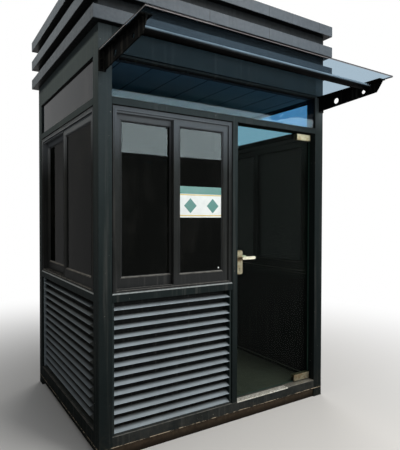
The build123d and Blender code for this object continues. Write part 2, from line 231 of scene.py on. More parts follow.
class Shader:
    """A material and short calls that add its nodes."""

    def __init__(self, name):
        self.material = bpy.data.materials.new(name)
        self.material.use_nodes = True
        self.tree = self.material.node_tree
        self.tree.nodes.clear()
        self.out = self.add("ShaderNodeOutputMaterial")

    def add(self, kind, **values):
        node = self.tree.nodes.new(kind)
        for key, value in values.items():
            setattr(node, key, value)
        return node

    def link(self, source, target):
        self.tree.links.new(source, target)

    def feed(self, socket, value):
        if isinstance(value, bpy.types.NodeSocket):
            self.link(value, socket)
        elif socket.type == "RGBA":
            socket.default_value = rgba(value)
        else:
            socket.default_value = value

    def place(self):
        return self.add("ShaderNodeTexCoord").outputs["Object"]

    def axis(self, index):
        """One coordinate of the surface's place."""
        split = self.add("ShaderNodeSeparateXYZ")
        self.link(self.place(), split.inputs[0])
        return split.outputs[index]

    def facing(self, index):
        """One coordinate of the direction in which the surface looks."""
        split = self.add("ShaderNodeSeparateXYZ")
        self.link(self.add("ShaderNodeTexCoord").outputs["Normal"], split.inputs[0])
        return split.outputs[index]

    def noise(self, scale, detail=4, rough=0.6, stretch=None):
        place = self.place()
        if stretch:
            mapping = self.add("ShaderNodeMapping")
            mapping.inputs["Scale"].default_value = stretch
            self.link(place, mapping.inputs["Vector"])
            place = mapping.outputs["Vector"]
        node = self.add("ShaderNodeTexNoise")
        node.inputs["Scale"].default_value = scale
        node.inputs["Detail"].default_value = detail
        node.inputs["Roughness"].default_value = rough
        self.link(place, node.inputs["Vector"])
        return node.outputs["Fac"]

    def ramp(self, source, *stops):
        node = self.add("ShaderNodeValToRGB")
        ramp = node.color_ramp
        while len(ramp.elements) < len(stops):
            ramp.elements.new(0.5)
        for element, (position, colour) in zip(ramp.elements, stops):
            element.position = position
            element.color = rgba(colour)
        self.link(source, node.inputs["Fac"])
        return node.outputs["Color"]

    def mottled(self, source, colour, low, high):
        """The colour, from low to high times as bright as a noise rises."""
        return self.ramp(source, (0.3, scaled(colour, low)), (0.7, scaled(colour, high)))

    def math(self, operation, *values):
        node = self.add("ShaderNodeMath", operation=operation)
        for socket, value in zip(node.inputs, values):
            self.feed(socket, value)
        return node.outputs[0]

    def times(self, *values):
        product = values[0]
        for value in values[1:]:
            product = self.math("MULTIPLY", product, value)
        return product

    def minus(self, value, taken):
        return self.math("SUBTRACT", value, taken)

    def size(self, value):
        return self.math("ABSOLUTE", value)

    def larger(self, first, second):
        return self.math("MAXIMUM", first, second)

    def below(self, value, limit):
        return self.math("LESS_THAN", value, limit)

    def above(self, value, limit):
        return self.math("GREATER_THAN", value, limit)

    def from_joint(self, place, first, pitch):
        """The distance from the nearest of many joints that are a pitch apart."""
        return self.size(self.math("WRAP", self.minus(place, first), pitch / 2, -pitch / 2))

    def fade(self, source, low, high, start=0.0, end=1.0):
        """A smooth step from start at low to end at high."""
        node = self.add("ShaderNodeMapRange", interpolation_type="SMOOTHSTEP")
        for socket, value in zip(node.inputs, (source, low, high, start, end)):
            self.feed(socket, value)
        return node.outputs[0]

    def choose(self, mask, off, on):
        """The number off where the mask is 0, and on where it is 1."""
        return self.fade(mask, 0.0, 1.0, off, on)

    def mix(self, factor, low, high):
        node = self.add("ShaderNodeMix", data_type="RGBA")
        for index, value in ((0, factor), (6, low), (7, high)):
            self.feed(node.inputs[index], value)
        return node.outputs[2]

    def principled(self, **values):
        node = self.add("ShaderNodeBsdfPrincipled")
        for key, value in values.items():
            self.feed(node.inputs[key.replace("_", " ")], value)
        self.link(node.outputs[0], self.out.inputs["Surface"])
        return node

    def satin(self, tone, shine, roughness, gloss=1.0):
        """Paint whose gloss is a thin coat, weaker where it is dusty or worn."""
        worn = self.times(self.fade(self.noise(46, 4), 0.25, 0.75, shine * 1.3, shine * 0.7), gloss)
        return self.principled(Base_Color=tone, Roughness=0.8, Specular_IOR_Level=0.0, Coat_Weight=worn,
                               Coat_Roughness=roughness)

    def bump(self, shader, height, strength, distance=0.001):
        node = self.add("ShaderNodeBump")
        node.inputs["Strength"].default_value = strength
        node.inputs["Distance"].default_value = distance
        self.link(height, node.inputs["Height"])
        self.link(node.outputs[0], shader.inputs["Normal"])

    def surface(self, factor, low, high):
        """Mixes two shaders' outputs into the material."""
        mix = self.add("ShaderNodeMixShader")
        self.feed(mix.inputs[0], factor)
        self.link(low, mix.inputs[1])
        self.link(high, mix.inputs[2])
        self.link(mix.outputs[0], self.out.inputs["Surface"])


# Materials. The joints and seams that they draw are placed by the frame's coordinates.
CEILING_JOINT = 0.111
CEILING_STRIP = 0.232
ROOF_SEAM = -0.21
ROOF_SEAM_PITCH = HALF_WIDTH * 0.55
# Height above each band over which the recesses' painted shade lightens
RECESS_LIT_HEIGHT = 0.065
FILM_OPACITY = 0.92
FILM_MIRROR = 0.4


def weathered(s, tone, dust_amount, splash=0.5):
    """Dust on upward faces, painted shade on undersides, faint rain streaks, and mud near the ground."""
    # Painted shade: undersides are darkened towards black.
    under = s.fade(s.facing(Z), -0.9, -0.3, 0.7, 0.0)
    tone = s.mix(under, tone, scaled(RUBBER, 0.3))
    up = s.fade(s.facing(Z), 0.25, 0.9)
    patchy = s.fade(s.noise(22, 5, 0.65), 0.3, 0.7, 0.45, 1.0)
    tone = s.mix(s.times(up, patchy, dust_amount), tone, DUST)
    streaks = s.fade(s.noise(1, 4, 0.6, (38, 38, 1.1)), 0.52, 0.78)
    tone = s.mix(s.times(streaks, 0.1), tone, DUST)
    low = s.fade(s.axis(Z), 0.02, 0.34, 1.0, 0.0)
    splashes = s.fade(s.noise(34, 6, 0.7), 0.42, 0.72)
    return s.mix(s.times(low, splashes, splash), tone, MUD)


def painted(name, colour, roughness=0.4, dust=0.35, grain=0.12, shine=0.12, splash=0.5, height_tones=(),
            specks=0.25):
    """Sprayed paint on metal, turned to a colour towards the end of each range of heights given; on the
    window metal these are painted light.
    """
    s = Shader(name)
    tone = s.mottled(s.noise(3.5, 3), colour, 0.88, 1.12)
    for start, end, pale in height_tones:
        tone = s.mix(s.fade(s.axis(Z), start, end), tone, pale)
    speck = s.fade(s.noise(240, 2, 0.5), 0.72, 0.78)
    tone = s.mix(s.times(speck, specks), tone, DUST)
    tone = weathered(s, tone, dust, splash)
    s.bump(s.satin(tone, shine, roughness), s.noise(900, 2, 0.5), grain, 0.0004)
    return s.material


def frame_coat(name):
    """The dark coat of posts and rails, with painted shade low down and painted light high up, the right post
    lit only at its top and shaded below it. The foot rails are dusty, and the front one is scuffed to bare
    filler along its lower edge."""
    s = Shader(name)
    height = s.axis(Z)
    shade = scaled(FRAME, 0.2)
    tone = s.mottled(s.noise(2.5, 4), FRAME, 0.85, 1.15)
    # Painted shade: darker low down.
    tone = s.mix(s.fade(height, 0.1, 1.8, 0.55, 0.0), tone, shade)
    # Painted shade on the right post below its top.
    right = s.fade(s.axis(X), 0.6, 0.9)
    tone = s.mix(s.times(right, s.fade(height, 2.0, 2.3, 0.35, 0.0)), tone, shade)

    between_posts = s.below(s.size(s.axis(X)), HALF_OPENING["front"])
    # Painted light: paler high up, the right post only at its top, and less between the posts, where the
    # canopy shades them.
    top_light = s.mix(right, s.fade(height, 1.5, 2.7, 0.0, 0.36), s.fade(height, 2.2, 2.4, 0.0, 0.4))
    tone = s.mix(s.times(top_light, s.choose(between_posts, 1.0, 0.35)), tone, FRAME_PAINTED_LIGHT)
    tone = weathered(s, tone, 0.5, 0.12)

    foot_rail = s.times(between_posts, s.fade(height, FRONT_RAIL_TOP, FRONT_RAIL_TOP + 0.004, 1.0, 0.0))
    tone = s.mix(s.times(foot_rail, s.fade(s.noise(6, 4), 0.35, 0.65, 0.02, 0.06)), tone, DUST)
    edge = s.times(s.fade(height, FRONT_RAIL_BOTTOM - 0.001, FRONT_RAIL_BOTTOM + 0.001),
                   s.fade(height, FRONT_RAIL_BOTTOM + 0.0035, FRONT_RAIL_BOTTOM + 0.007, 1.0, 0.0))
    chips = s.fade(s.noise(1, 5, 0.7, (30, 30, 120)), 0.46, 0.56)
    tone = s.mix(s.times(edge, chips, 0.85), tone, FRAME_FILLER)
    spots = s.fade(s.noise(75, 2, 0.5), 0.76, 0.79)
    tone = s.mix(s.times(spots, 0.5), tone, FRAME_SPECK)
    s.bump(s.satin(tone, 0.06, 0.4), s.noise(700, 2, 0.5), 0.14, 0.0004)
    return s.material


def louvre_channels(s, front):
    """1 on the side channels of each wall's louvre panel."""
    wide = s.size(s.axis(X))
    deep = s.size(s.axis(Y))
    front_left = s.below(s.axis(X), CHANNEL_WIDTH - HALF_OPENING["front"])
    front_right = s.above(s.axis(X), MULLION_LEFT - CHANNEL_WIDTH)
    front_ends = s.times(front, s.larger(front_left, front_right))
    side_ends = s.times(s.above(deep, HALF_OPENING["left"] - CHANNEL_WIDTH),
                        s.above(wide, HALF_OPENING["front"]))
    back_ends = s.times(s.above(s.axis(Y), HALF_OPENING["left"]),
                        s.above(wide, HALF_OPENING["back"] - CHANNEL_WIDTH))
    return s.larger(s.larger(front_ends, side_ends), back_ends)


def louvre_coat(name):
    """Blue-grey blades with painted shade further in, between channels and over a foot bar of the dark frame
    colour.
    The other walls' blades are darker, as painted shade. The front's finish reaches back over the sides'
    front ends."""
    s = Shader(name)
    front = s.below(s.axis(Y), -HALF_DEPTH / 2 - POST * 2)
    behind_side = s.minus(HALF_WIDTH, s.size(s.axis(X)))
    inward = s.math("MINIMUM", s.minus(HALF_DEPTH, s.size(s.axis(Y))), behind_side)
    inward = s.math("ADD", inward, s.choose(front, 0.012, 0.0))
    # Painted shade: blades turn near black further in, and lose their gloss there.
    inner_shade = s.fade(inward, BLADE_SETBACK + 0.013, BLADE_SETBACK + 0.042)
    blade = s.mottled(s.noise(6, 3), LOUVRE, 0.9, 1.1)
    # Painted shade: the other walls' blades are darker.
    blade = s.mix(s.choose(front, 0.3, 0.0), blade, scaled(LOUVRE, 0.05))
    tone = s.mix(s.times(inner_shade, 0.985), blade, scaled(LOUVRE, 0.01))
    foot = s.below(s.axis(Z), s.choose(front, SIDE_RAIL_TOP + FOOT_BAR_TOP, FRONT_RAIL_TOP + FOOT_BAR_TOP))
    tone = s.mix(s.larger(louvre_channels(s, front), foot), tone, FRAME)
    tone = weathered(s, tone, 0.15, 0.2)
    gloss = s.minus(1.0, s.times(inner_shade, 0.9))
    s.bump(s.satin(tone, 0.14, 0.42, gloss), s.noise(800, 2, 0.5), 0.1, 0.0004)
    return s.material


def roof_coat(name):
    """Grey sheet with dark vertical seams, run-off streaks and dust on its ledges. The lowest band is darker,
    and so are the recesses and the undersides, all painted shade; the recesses are lighter just above each
    band."""
    s = Shader(name)
    height = s.axis(Z)
    tone = s.mottled(s.noise(2.2, 5), ROOF, 0.86, 1.12)
    # Painted shade: the lowest band is darker.
    tone = s.mix(s.fade(height, LOWEST_BAND_TOP, LOWEST_BAND_TOP + 0.05, 0.35, 0.0), tone, scaled(ROOF, 0.3))
    within_width = s.below(s.size(s.axis(X)), HALF_WIDTH + 0.002)
    within_depth = s.below(s.size(s.axis(Y)), HALF_DEPTH + 0.002)
    recess = s.times(within_width, within_depth)
    # Painted shade: the recesses are near black, lighter just above each band.
    above_ledge = s.math("WRAP", s.minus(height, LOWEST_BAND_TOP), BAND_PITCH, 0.0)
    recess_tone = s.mix(s.fade(above_ledge, 0.0, RECESS_LIT_HEIGHT, 0.4, 0.0), ROOF_RECESS_SHADE, scaled(ROOF, 0.8))
    tone = s.mix(recess, tone, recess_tone)

    faces_front = s.above(s.size(s.facing(Y)), 0.5)
    along = s.mix(faces_front, s.axis(Y), s.axis(X))
    upright = s.fade(s.size(s.facing(Z)), 0.3, 0.5, 1.0, 0.0)
    from_seam = s.from_joint(along, ROOF_SEAM, ROOF_SEAM_PITCH)
    seam = s.times(upright, s.fade(from_seam, 0.001, 0.003, 1.0, 0.0))
    tone = s.mix(s.times(seam, 0.75), tone, scaled(ROOF, 0.2))
    streaks = s.fade(s.noise(1, 5, 0.65, (30, 30, 0.9)), 0.45, 0.75)
    tone = s.mix(s.times(upright, streaks, 0.22), tone, scaled(ROOF, 0.45))
    # Painted shade: undersides are darkened.
    tone = s.mix(s.fade(s.facing(Z), -0.9, -0.3, 0.95, 0.0), tone, scaled(RUBBER, 0.3))
    up = s.fade(s.facing(Z), 0.3, 0.9)
    patchy = s.fade(s.noise(9, 6, 0.7), 0.3, 0.7, 0.35, 0.9)
    tone = s.mix(s.times(up, patchy), tone, scaled(DUST, 0.6))
    s.bump(s.satin(tone, 0.33, 0.4, s.choose(recess, 1.0, 0.25)), s.noise(14, 3, 0.5), 0.12, 0.002)
    return s.material


def tube_coat(name):
    """Dark paint with a pale painted highlight, in fine streaks, along the top of the tube, and painted shade
    underneath.
    """
    s = Shader(name)
    tone = s.mottled(s.noise(8, 3), BRACKET, 0.8, 1.2)
    # Painted highlight: pale streaks along the top of the tube.
    top_highlight = s.fade(s.facing(Z), -0.05, 0.65)
    patchy = s.fade(s.noise(1, 4, 0.6, (6, 60, 60)), 0.3, 0.7, 0.6, 1.0)
    tone = s.mix(s.times(top_highlight, patchy), tone, TUBE_HIGHLIGHT)
    # Painted shade: the lower half turns near black.
    tone = s.mix(s.fade(s.facing(Z), -0.5, 0.0, 0.9, 0.0), tone, scaled(RUBBER, 0.2))
    s.bump(s.satin(tone, 0.05, 0.25), s.noise(500, 2, 0.5), 0.06, 0.0004)
    return s.material


def ceiling_coat(name):
    """Grey strips that run from front to back, with dark joints."""
    s = Shader(name)
    tone = s.mottled(s.noise(5, 4), CEILING, 0.85, 1.1)
    joint = s.fade(s.from_joint(s.axis(X), CEILING_JOINT, CEILING_STRIP), 0.003, 0.006, 1.0, 0.0)
    tone = s.mix(joint, tone, RUBBER)
    s.bump(s.satin(tone, 0.15, 0.5), s.noise(500, 2, 0.5), 0.1, 0.0004)
    return s.material


def board(name):
    """A worn floor sheet with fine grain from front to back."""
    s = Shader(name)
    grain = s.noise(1, 5, 0.6, (90, 6, 90))
    tone = s.mottled(grain, FLOOR_BOARD, 0.8, 1.2)
    tone = s.mix(s.fade(s.noise(5, 5, 0.7), 0.5, 0.75, 0.0, 0.4), tone, MUD)
    rough = s.fade(s.noise(25, 4), 0.25, 0.75, 0.5, 0.75)
    s.bump(s.principled(Base_Color=tone, Roughness=rough), grain, 0.2, 0.0008)
    return s.material


def plinth_coat(name):
    """Rusty brown primer, darkened overall, and more towards the ground as a painted contact shadow."""
    s = Shader(name)
    tone = s.ramp(s.noise(7, 6, 0.7), (0.3, scaled(BROWN, 0.6)), (0.5, BROWN), (0.72, scaled(BROWN, 1.5)))
    tone = weathered(s, tone, 0.6, 0.5)
    # Painted shadow: darker towards the ground.
    tone = s.mix(s.fade(s.axis(Z), 0.012, 0.05, 0.92, 0.5), tone, scaled(BROWN, 0.12))
    s.bump(s.satin(tone, 0.1, 0.6), s.noise(160, 4, 0.6), 0.3, 0.0008)
    return s.material


def glass(name, tint, body, opacity, mirror, smear=0.03, edge=None, rim_colour=RUBBER, rim_shade=None,
          film=False):
    """A tinted pane: what lies behind shows through it, under a mirror-smooth face with faint smears.
    Its rim is the faces that don't look along the axis edge; it turns dark over the heights rim_shade.
    A film darkens the left and the back wall's panes."""
    s = Shader(name)
    clear = s.add("ShaderNodeBsdfTransparent")
    clear.inputs["Color"].default_value = rgba(tint)
    smears = s.fade(s.noise(1, 5, 0.65, (5, 5, 2.2)), 0.45, 0.8)
    tone = s.mix(s.times(smears, smear), body, DUST)
    amount = opacity
    if film:
        filmed = s.larger(s.below(s.axis(X), POST - HALF_WIDTH), s.above(s.axis(Y), HALF_DEPTH - POST))
        amount = s.choose(filmed, opacity, FILM_OPACITY)
        mirror = s.choose(filmed, mirror, mirror * FILM_MIRROR)
    if edge is not None:
        rim = s.fade(s.size(s.facing(edge)), 0.4, 0.6, 1.0, 0.0)
        amount = s.larger(s.times(rim, 0.9), opacity)
        if rim_shade:
            rim_colour = s.mix(s.fade(s.axis(Z), *rim_shade), rim_colour, scaled(RUBBER, 0.3))
        tone = s.mix(rim, tone, rim_colour)
    solid = s.principled(Base_Color=tone, Roughness=0.6, Specular_IOR_Level=0.0, Coat_Weight=mirror,
                         Coat_Roughness=0.01)
    s.surface(amount, clear.outputs[0], solid.outputs[0])
    return s.material


def steel(name, tones, roughness, stain):
    """Brushed stainless steel with fingerprints and brown tarnish."""
    s = Shader(name)
    brushed = s.noise(1, 3, 0.6, (40, 400, 400))
    prints = s.fade(s.noise(42, 4), 0.45, 0.75, 0.0, 0.12)
    rough = s.math("ADD", s.fade(brushed, 0.2, 0.8, roughness - 0.07, roughness + 0.07), prints)
    tone = s.ramp(brushed, (0.3, tones[0]), (0.7, tones[1]))
    tone = s.mix(s.fade(s.noise(24, 3, 0.55), 0.47, 0.62, 0.0, stain), tone, TARNISH)
    s.bump(s.principled(Base_Color=tone, Metallic=1.0, Roughness=rough), brushed, 0.12, 0.0002)
    return s.material


def threshold_coat(name):
    """A pale strip scuffed by feet, lit by painted sunlight, and the duller cover plate beside it, partly
    painted shade.
    """
    s = Shader(name)
    cover = s.above(s.axis(X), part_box("threshold")[1][0] - SPRING_COVER)
    scuffs = s.fade(s.noise(1, 6, 0.75, (70, 130, 130)), 0.4, 0.62)
    # Painted light: the strip is paler than the cover plate, as if sunlit.
    tone = s.mix(cover, s.mix(scuffs, *SUNLIT_STRIP), s.mix(scuffs, *SHADED_COVER))
    groove = s.times(s.below(s.axis(Z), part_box("threshold")[1][2] - 0.001), s.above(s.axis(Y), -HALF_DEPTH))
    tone = s.mix(s.times(groove, 0.8), tone, GROOVE_DIRT)
    shader = s.principled(Base_Color=tone, Roughness=s.choose(scuffs, 0.4, 0.6), Metallic=0.25)
    s.bump(shader, scuffs, 0.25, 0.0005)
    return s.material


def rubber(name, colour=RUBBER):
    s = Shader(name)
    tone = s.mottled(s.noise(60, 4), colour, 0.7, 1.4)
    tone = s.mix(s.times(s.fade(s.facing(Z), 0.4, 0.9), 0.25), tone, DUST)
    rough = s.fade(s.noise(90, 3), 0.25, 0.75, 0.55, 0.75)
    shader = s.principled(Base_Color=tone, Roughness=rough, Specular_IOR_Level=0.2)
    s.bump(shader, s.noise(400, 2), 0.2, 0.0004)
    return s.material


def printed(name, colour):
    """Ink on a film, a little faded in patches."""
    s = Shader(name)
    tone = s.mottled(s.noise(9, 5, 0.7), colour, 0.86, 1.05)
    rough = s.fade(s.noise(70, 3), 0.25, 0.75, 0.32, 0.48)
    s.bump(s.principled(Base_Color=tone, Roughness=rough), s.noise(26, 4), 0.1, 0.0004)
    return s.material


# The window frames turn paler towards the head, a painted reflection of the sky, and a little paler towards
# the sill
WINDOW_HEIGHT_TONES = ((1.8, 2.19, WINDOW_SKY_REFLECTION), (1.22, 1.05, WINDOW_PALER_LOW))
CANOPY_RIM_SHADE = (CANOPY_UNDERSIDE + 0.004, CANOPY_UNDERSIDE + 0.006)
MATERIALS = {
    "frame_paint": frame_coat("frame_paint"),
    "plinth_paint": plinth_coat("plinth_paint"),
    "louvre_paint": louvre_coat("louvre_paint"),
    # Heavy dust on the window metal's upward ledges, which also stands in for the sky's highlight there:
    # partly painted highlight.
    "window_metal": painted("window_metal", WINDOW, 0.36, 0.9, 0.05, 0.06, height_tones=WINDOW_HEIGHT_TONES),
    "roof_paint": roof_coat("roof_paint"),
    # The lining is near black: painted shade for the louvre gaps and the inside.
    "lining_paint": painted("lining_paint", LINING_SHADE, 0.5, 0.3, 0.08, 0.1, 0.2, specks=0.03),
    "floor_board": board("floor_board"),
    "tinted_glass": glass("tinted_glass", (0.5, 0.55, 0.55), (0.001, 0.0015, 0.001), 0.85, 0.1),
    "door_glass": glass("door_glass", (0.87, 0.93, 0.88), (0.002, 0.003, 0.003), 0.1, 0.5, 0.05,
                        edge=Y, rim_colour=DOOR_RIM),
    "canopy_glass": glass("canopy_glass", (0.655, 0.745, 0.81), (0.01, 0.02, 0.03), 0.06, 0.2, 0.2,
                          edge=Z, rim_colour=CANOPY_RIM, rim_shade=CANOPY_RIM_SHADE),
    "bright_steel": steel("bright_steel", STEEL, 0.44, 0.6),
}
RUBBER_SEAL = rubber("rubber_seal")
# A pale finish for the sill's painted highlight
SILL_HIGHLIGHT_PAINT = rubber("sill_highlight_paint", SILL_HIGHLIGHT_TONE)
# Near black, for real seals and for painted shade in sockets, slots and the fanlight's top seal.
SEAL_AND_SHADE_PAINT = painted("seal_and_shade_paint", SEAL_AND_SHADE_TONE, 0.6, 0.1, 0.05, 0.05, 0.0)
BRACKET_PAINT = painted("bracket_paint", BRACKET, 0.4, 0.15, 0.1, 0.03)
LABEL_WHITE = printed("label_white", srgb(226, 228, 224))
LABEL_TEAL = printed("label_teal", srgb(28, 108, 96))
LABEL_GOLD = printed("label_gold", srgb(206, 176, 74))

# Nodes whose finish differs from that of the rest of their slot
OWN_MATERIALS = {
    "ceiling": ceiling_coat("ceiling_paint"),
    "fanlight_glass": glass("fanlight_tint", (0.56, 0.776, 0.92), (0.002, 0.004, 0.006), 0.15, 1.0, 0.1,
                            film=True),
    "threshold": threshold_coat("threshold_metal"),
    "canopy_tube": tube_coat("tube_paint"),
    "canopy_bracket_left": BRACKET_PAINT,
    "canopy_bracket_right": BRACKET_PAINT,
    "door_lever": steel("lever_steel", LEVER_STEEL, 0.3, 0.3),
}

WELD_DISTANCE = 0.00005
NODE_BEVEL = 0.0018
OWN_BEVELS = {"door_lever": 0.0045, "door_handle_plates": 0.0022, "door_patch_fittings": 0.0022,
              "canopy_tube": 0.001}
BEVEL_ANGLE = math.radians(40)
SHARP_ANGLE = math.radians(35)


def add_bevel(piece, width, segments):
    bevel = piece.modifiers.new("bevel", "BEVEL")
    bevel.width = width
    bevel.segments = segments
    bevel.limit_method = "ANGLE"
    bevel.harden_normals = True
    return bevel


def dress_nodes():
    slots = {row["node"]: row["material_slot"] for row in frame["record"]["subparts"]}
    for name, node in nodes.items():
        node.data.materials.clear()
        node.data.materials.append(OWN_MATERIALS.get(name, MATERIALS[slots[name]]))
        if "glass" in slots[name]:
            continue
        weld = node.modifiers.new("weld", "WELD")
        weld.merge_threshold = WELD_DISTANCE
        add_bevel(node, OWN_BEVELS.get(name, NODE_BEVEL), 3).angle_limit = BEVEL_ANGLE


# Meshes of the added pieces
class Build:
    """Points and faces of one piece, in the frame's own coordinates."""

    def __init__(self):
        self.points = []
        self.faces = []

    def tube(self, rings, closed=False):
        """Joins rings of points one after another, with caps at the ends unless it closes on itself."""
        size = len(rings[0])
        start = len(self.points)
        for ring in rings:
            self.points.extend(ring)
        count = len(rings)
        for i in range(count if closed else count - 1):
            low = start + i * size
            high = start + (i + 1) % count * size
            for j in range(size):
                k = (j + 1) % size
                self.faces.append((low + j, low + k, high + k, high + j))
        if not closed:
            self.faces.append(tuple(range(start, start + size)))
            self.faces.append(tuple(range(start + (count - 1) * size, start + count * size)))

    def ring_frame(self, wall, along, height, profile):
        """A mitred frame round a rectangle; the profile is a list of (distance inwards, depth)."""
        rings = []
        for right, top in ((0, 0), (1, 0), (1, 1), (0, 1)):
            ring = []
            for inward, depth in profile:
                u = along[right] + inward * (1 - 2 * right)
                z = height[top] + inward * (1 - 2 * top)
                ring.append(WALLS[wall](u, depth, z))
            rings.append(ring)
        self.tube(rings, closed=True)

    def rail(self, wall, along, profile):
        """A bar along a wall; the profile is a list of (depth, height)."""
        self.tube([[WALLS[wall](u, depth, z) for depth, z in profile] for u in along])

    def upright(self, wall, height, profile):
        """A bar that stands on a wall; the profile is a list of (along, depth)."""
        self.tube([[WALLS[wall](u, depth, z) for u, depth in profile] for z in height])

    def slab(self, along, height, back, front, chamfer):
        """A plate on the front wall, with chamfered edges at its face. A negative chamfer, for a face that
        looks into the booth, spreads the edges instead."""
        rings = []
        for inset, depth in ((0, back), (0, front + chamfer), (chamfer, front)):
            corners = box_profile(narrowed(along, inset), narrowed(height, inset))
            rings.append([WALLS["front"](u, depth, z) for u, z in corners])
        self.tube(rings)

    def turned(self, centre, face, profile, sides=24, stretch=0.0, out=-1):
        """A piece turned about an axis into the front wall; the profile is a list of (radius, height above
        the face). Heights go forward, or back with out=1. stretch draws the piece out downwards."""
        rings = []
        for radius, height in profile:
            ring = []
            for i in range(sides):
                angle = 2 * math.pi * i / sides
                u = centre[0] + radius * math.cos(angle)
                z = centre[1] + radius * math.sin(angle) - (stretch if math.sin(angle) < 0 else 0)
                ring.append(WALLS["front"](u, face + out * height, z))
            rings.append(ring)
        self.tube(rings)

    def piece(self, name, material, slot=None, body="booth", bevel=0.0, smooth=False):
        mesh = bpy.data.meshes.new(name)
        work = bmesh.new()
        points = [work.verts.new(point) for point in self.points]
        for face in self.faces:
            work.faces.new([points[i] for i in face])
        bmesh.ops.recalc_face_normals(work, faces=work.faces)
        work.to_mesh(mesh)
        work.free()
        mesh.materials.append(material)
        if smooth:
            mesh.polygons.foreach_set("use_smooth", [True] * len(mesh.polygons))
            mesh.set_sharp_from_angle(angle=SHARP_ANGLE)
        made = bpy.data.objects.new(name, mesh)
        scene.collection.objects.link(made)
        if bevel:
            add_bevel(made, bevel, 2)
        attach(made, body)
        return made

    def slot_piece(self, name, slot, **more):
        """A piece in the material of its own slot."""
        return self.piece(name, MATERIALS[slot], slot, **more)


def bay(wall):
    end = MULLION_LEFT if wall == "front" else HALF_OPENING[wall]
    return (-HALF_OPENING[wall], end)


def narrowed(span, gap):
    return (span[0] + gap, span[1] - gap)


def box_profile(first, second):
    """The four corners of a rectangle between two ranges."""
    return [(first[0], second[0]), (first[1], second[0]), (first[1], second[1]), (first[0], second[1])]


# Windows. A lip is (distance inwards, width, height above the frame).
SASH_HEIGHTS = (SILL_TOP + WINDOW_FOOT, HEADER_BOTTOM - WINDOW_MEMBER)
GLASS_HEIGHTS = (SASH_HEIGHTS[0] + SASH_BOTTOM_RAIL, SASH_HEIGHTS[1] - SASH_TOP_RAIL)
FRAME_LIPS = ((0.0085, 0.003, 0.002), (0.0175, 0.0025, 0.0015))
SEALANT_WIDTH = 0.007
SILL_SEALANT_HEIGHT = 0.008
BEAD_WIDTH = 0.0085
GASKET_WIDTH = 0.003
GASKET_PROUD = 0.0015
INNER_GASKET = (0.006, 0.003)
RIDGE = (0.001, 0.004)
TRACK_WIDTH = 0.0025
TRACK_DEPTHS = (0.012, 0.026, OUTER_SASH_SETBACK + SASH_DEPTH - 0.001)
TRACK_FOOT = 0.008
TRACK_HEAD = 0.012
BRUSH = (0.002, 0.010)
TRIM_BEVEL = 0.0006
TRACK_BEVEL = 0.0005


def sashes(wall):
    """The outer range, the glass range and the setback of the right and the left sash."""
    low, high = narrowed(bay(wall), WINDOW_MEMBER)
    wide = (high - low + MEETING_STILE) / 2
    inner_setback = OUTER_SASH_SETBACK + SASH_DEPTH + SASH_GAP
    right = ((high - wide, high), (high - wide + MEETING_STILE, high - SASH_STILE), OUTER_SASH_SETBACK)
    left = ((low, low + wide), (low + SASH_STILE, low + wide - MEETING_STILE), inner_setback)
    return right, left


def window_frame_trim(wall):
    """Lips on the frame, the sealant round it and a pale bead on the sill, a painted highlight."""
    face = WINDOW_SETBACK
    heights = (SILL_TOP, HEADER_BOTTOM)
    lips = Build()
    for inward, width, proud in FRAME_LIPS:
        profile = box_profile((inward, inward + width), (face - proud, face))
        lips.ring_frame(wall, bay(wall), heights, profile)
    lips.slot_piece(f"window_lips_{wall}", "window_metal", bevel=TRIM_BEVEL)

    sealant = Build()
    profile = [(0, face - 0.003), (SEALANT_WIDTH, face - 0.001), (SEALANT_WIDTH, face), (0, face)]
    sealant.ring_frame(wall, bay(wall), heights, profile)
    sealant.piece(f"window_sealant_{wall}", SEAL_AND_SHADE_PAINT)

    # Painted highlight: a pale bead along the sill's front edge.
    foot = Build()
    top = SILL_TOP + SILL_SEALANT_HEIGHT
    profile = [(face - 0.0035, SILL_TOP), (face - 0.0015, top), (face, top), (face, SILL_TOP)]
    foot.rail(wall, narrowed(bay(wall), CLEAR), profile)
    foot.piece(f"sill_highlight_bead_{wall}", SILL_HIGHLIGHT_PAINT)


def sash_trim(wall):
    """Beads and gaskets round the glass, and a fine ridge along each edge of the sashes."""
    beads = Build()
    ridges = Build()
    gaskets = Build()
    for outer, pane, setback in sashes(wall):
        glass_face = setback + PANE_RECESS
        profile = [(0, setback + 0.001), (0.003, setback + 0.001), (BEAD_WIDTH, glass_face - 0.002),
                   (BEAD_WIDTH, glass_face), (0, glass_face)]
        beads.ring_frame(wall, pane, GLASS_HEIGHTS, profile)
        beside_bead = (BEAD_WIDTH, BEAD_WIDTH + GASKET_WIDTH)
        profile = box_profile(beside_bead, (glass_face - GASKET_PROUD, glass_face))
        gaskets.ring_frame(wall, pane, GLASS_HEIGHTS, profile)
        inner_face = setback + SASH_DEPTH - PANE_RECESS
        profile = box_profile((0, INNER_GASKET[0]), (inner_face, inner_face + INNER_GASKET[1]))
        gaskets.ring_frame(wall, pane, GLASS_HEIGHTS, profile)
        ridges.ring_frame(wall, outer, SASH_HEIGHTS, box_profile(RIDGE, (setback - 0.002, setback)))
        outwards = (-RIDGE[1], -RIDGE[0])
        ridges.ring_frame(wall, pane, GLASS_HEIGHTS, box_profile(outwards, (setback - 0.0015, setback)))
    beads.slot_piece(f"glazing_beads_{wall}", "window_metal", bevel=TRIM_BEVEL)
    ridges.slot_piece(f"sash_ridges_{wall}", "window_metal", bevel=TRIM_BEVEL)
    gaskets.piece(f"glazing_gaskets_{wall}", RUBBER_SEAL)


